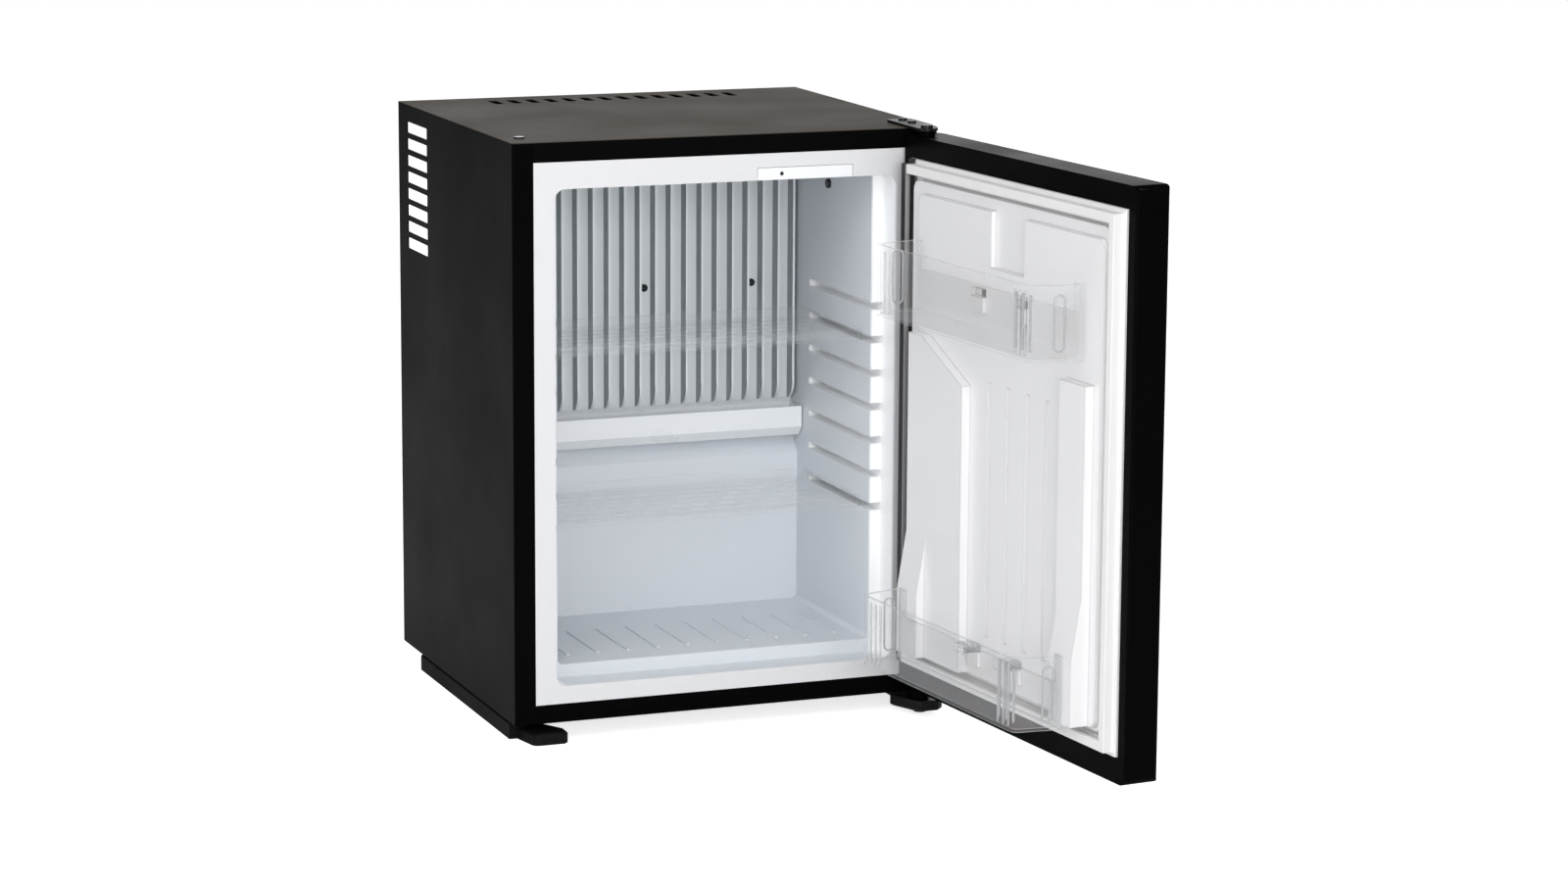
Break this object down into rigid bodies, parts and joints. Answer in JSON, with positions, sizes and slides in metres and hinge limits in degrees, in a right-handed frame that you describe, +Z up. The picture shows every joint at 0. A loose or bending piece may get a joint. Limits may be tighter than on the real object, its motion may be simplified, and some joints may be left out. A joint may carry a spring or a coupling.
{
  "type": "mini fridge",
  "caption": "Small black hotel-room absorption refrigerator with a right-hinged door, clear shelves and door bins, a finned cooling plate and an open rear unit.",
  "frame": {"origin": "on the floor under the centre of the cabinet, midway between its sides and midway between its front frame and its open back", "axes": "+Z up, +X towards the cabinet's right side as seen from in front, where the door is hinged, +Y towards the back; the door opens towards -Y"},
  "size_m": [0.438, 0.7548, 0.5449],
  "materials": {
    "shell_paint": "satin",
    "lid_paint": "satin",
    "rear_zinc": "matte",
    "cabinet_insulation": "matte",
    "door_insulation": "matte",
    "cabinet_lining": "satin",
    "door_lining": "satin",
    "fin_aluminium": "satin",
    "gutter_plastic": "satin",
    "drain_hose": "matte",
    "shelf_clear": "gloss",
    "bin_clear": "gloss",
    "lamp_plastic": "satin",
    "lamp_diffuser": "satin",
    "window_dark": "gloss",
    "circuit_board": "satin",
    "sensor_black": "satin",
    "foot_plastic": "matte",
    "hinge_steel": "satin",
    "pin_steel": "satin",
    "screw_steel": "satin",
    "plug_black": "satin",
    "bush_nylon": "satin",
    "gasket_rubber": "matte",
    "magnet_strip": "matte",
    "cap_plastic": "satin",
    "door_paint": "satin",
    "tube_paint": "satin",
    "boiler_can": "satin",
    "boiler_wool": "matte",
    "heater_steel": "satin",
    "box_plastic": "matte",
    "tray_plastic": "matte",
    "strap_steel": "matte"
  },
  "bodies": {
    "cabinet": {"side_panel_left": "shell_paint", "side_panel_right": "shell_paint", "top_panel": "lid_paint", "bottom_panel": "shell_paint", "rear_wall_panel": "rear_zinc", "cabinet_foam": "cabinet_insulation", "inner_liner": "cabinet_lining", "evaporator_plate": "fin_aluminium", "evaporator_screws": "screw_steel", "evaporator_tube": "tube_paint", "drip_gutter": "gutter_plastic", "drain_tube": "drain_hose", "upper_shelf": "shelf_clear", "lower_shelf": "shelf_clear", "lamp_housing": "lamp_plastic", "lamp_lens": "lamp_diffuser", "lamp_board": "circuit_board", "lamp_window": "window_dark", "temperature_sensor": "sensor_black", "left_foot_rail": "foot_plastic", "right_foot_rail": "foot_plastic", "foot_screws": "screw_steel", "top_hinge_bracket": "hinge_steel", "bottom_hinge_bracket": "hinge_steel", "top_hinge_pin": "pin_steel", "bottom_hinge_pin": "pin_steel", "hinge_screws": "screw_steel", "hinge_hole_plug": "plug_black", "boiler_casing": "boiler_can", "boiler_wool": "boiler_wool", "boiler_heater": "heater_steel", "condenser_tube": "tube_paint", "condenser_fins": "tube_paint", "absorber_coil": "tube_paint", "reservoir": "tube_paint", "liquid_line": "tube_paint", "unit_straps": "strap_steel", "unit_cross_rail": "strap_steel", "control_box": "box_plastic", "control_board": "circuit_board", "mains_inlet": "plug_black", "evaporation_tray": "tray_plastic"},
    "door": {"door_skin": "door_paint", "door_top_cap": "cap_plastic", "door_bottom_cap": "cap_plastic", "door_foam": "door_insulation", "door_liner": "door_lining", "door_gasket": "gasket_rubber", "gasket_magnets": "magnet_strip", "top_hinge_bush": "bush_nylon", "bottom_hinge_bush": "bush_nylon"},
    "upper_bin": {"upper_bin": "bin_clear"},
    "lower_bin": {"lower_bin": "bin_clear"}
  },
  "joints": [
    {"name": "door_swing", "type": "hinge", "parent": "cabinet", "child": "door", "pos_m": [0.1806, -0.199, 0.288], "axis": [0, 0, 1], "range_deg": [-95.4, 24.6]},
    {"name": "upper_bin_lift", "type": "slide", "parent": "door", "child": "upper_bin", "axis": [0, 0, 1], "range_m": [0, 0.025]},
    {"name": "lower_bin_lift", "type": "slide", "parent": "door", "child": "lower_bin", "axis": [0, 0, 1], "range_m": [0, 0.025]}
  ]
}
